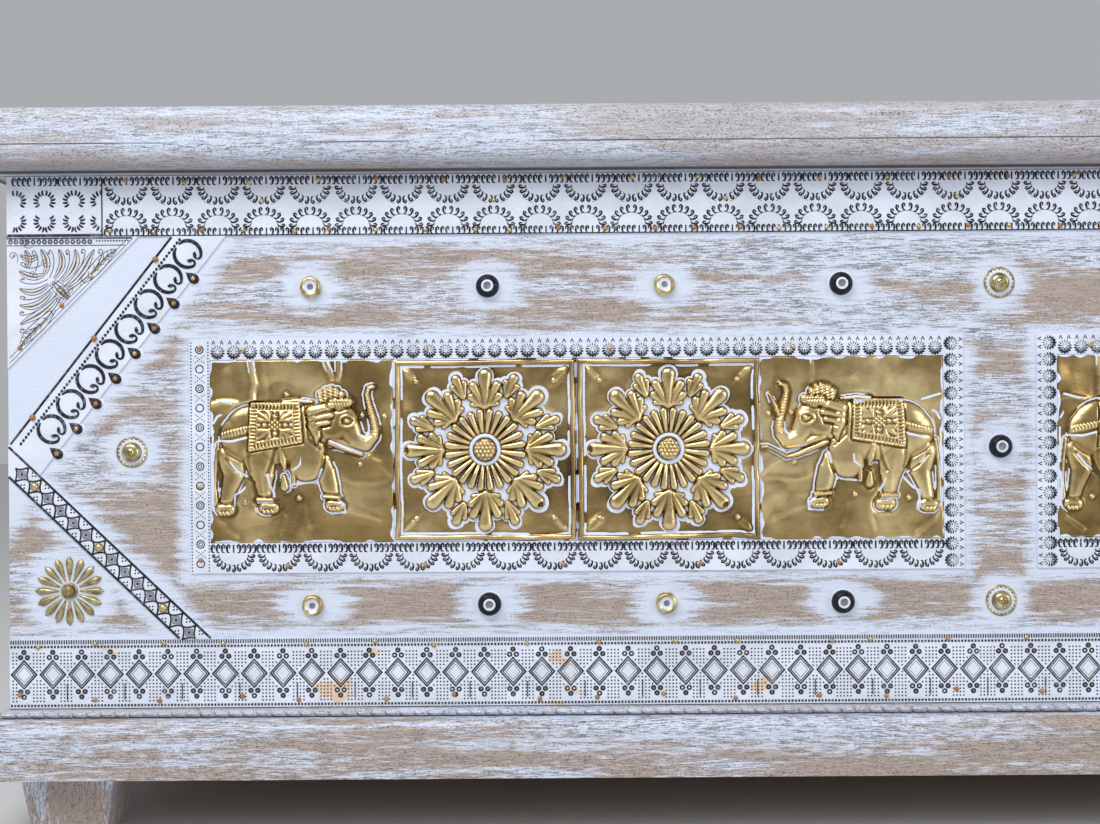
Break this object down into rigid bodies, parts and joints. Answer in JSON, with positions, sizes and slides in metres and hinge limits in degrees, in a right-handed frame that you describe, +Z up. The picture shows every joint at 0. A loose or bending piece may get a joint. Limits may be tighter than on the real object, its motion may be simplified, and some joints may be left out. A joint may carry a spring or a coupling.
{
  "type": "storage chest",
  "caption": "Low whitewashed wooden storage chest with a hinged moulded lid and a front dressed in beaten brass plates, stamped tin strips and domed studs.",
  "frame": {"origin": "middle of the lid's outline in plan, on the floor", "axes": "+X along the chest towards its right end seen from the front, +Y towards the rear, the decorated front faces -Y, +Z up"},
  "size_m": [1.241, 0.481, 0.438],
  "materials": {
    "whitewashed_wood": "whitewash rubbed back over tan grain",
    "inner_wood": "bare sawn",
    "brass": "beaten, aged, white paint in the hollows",
    "white_tin": "stamped, white with dark outlines and rust",
    "black_iron": "black with a white painted face",
    "hinge_iron": "dull"
  },
  "bodies": {
    "chest_body": {"base_beads": "whitewashed_wood", "base_moulding_front": "whitewashed_wood", "base_moulding_left": "whitewashed_wood", "base_moulding_right": "whitewashed_wood", "black_studs": "black_iron", "bottom_strip": "white_tin", "brass_studs": "brass", "corner_post_front_left": "inner_wood", "corner_post_front_right": "inner_wood", "corner_post_rear_left": "inner_wood", "corner_post_rear_right": "inner_wood", "corner_rosettes": "brass", "floor_cleat_front": "inner_wood", "floor_cleat_rear": "inner_wood", "floor_planks": "inner_wood", "flower_studs": "brass", "foot_front_left": "whitewashed_wood", "foot_front_right": "whitewashed_wood", "foot_rear_left": "whitewashed_wood", "foot_rear_right": "whitewashed_wood", "front_lower_board": "whitewashed_wood", "front_upper_board": "whitewashed_wood", "hinge_body_leaf_left": "hinge_iron", "hinge_body_leaf_right": "hinge_iron", "hinge_pin_left": "hinge_iron", "hinge_pin_right": "hinge_iron", "leaf_corner_plates": "white_tin", "left_end_lower_board": "whitewashed_wood", "left_end_upper_board": "whitewashed_wood", "left_panel_border": "white_tin", "left_panel_elephant_left": "brass", "left_panel_elephant_right": "brass", "left_panel_flower_left": "brass", "left_panel_flower_right": "brass", "lower_brace_strips": "white_tin", "rear_lower_board": "whitewashed_wood", "rear_upper_board": "whitewashed_wood", "right_end_lower_board": "whitewashed_wood", "right_end_upper_board": "whitewashed_wood", "right_panel_border": "white_tin", "right_panel_elephant_left": "brass", "right_panel_elephant_right": "brass", "right_panel_flower_left": "brass", "right_panel_flower_right": "brass", "top_corner_plates": "white_tin", "top_strip": "white_tin", "upper_brace_strips": "white_tin"},
    "lid": {"hinge_lid_leaf_left": "hinge_iron", "hinge_lid_leaf_right": "hinge_iron", "lid_battens": "inner_wood", "lid_front_plank": "whitewashed_wood", "lid_middle_plank": "whitewashed_wood", "lid_moulding_front": "whitewashed_wood", "lid_moulding_left": "whitewashed_wood", "lid_moulding_right": "whitewashed_wood", "lid_rear_plank": "whitewashed_wood"}
  },
  "joints": [
    {"name": "lid_hinge", "type": "hinge", "parent": "chest_body", "child": "lid", "pos_m": [0, 0.2192, 0.416], "axis": [-1, 0, 0], "range_deg": [0, 100]}
  ]
}
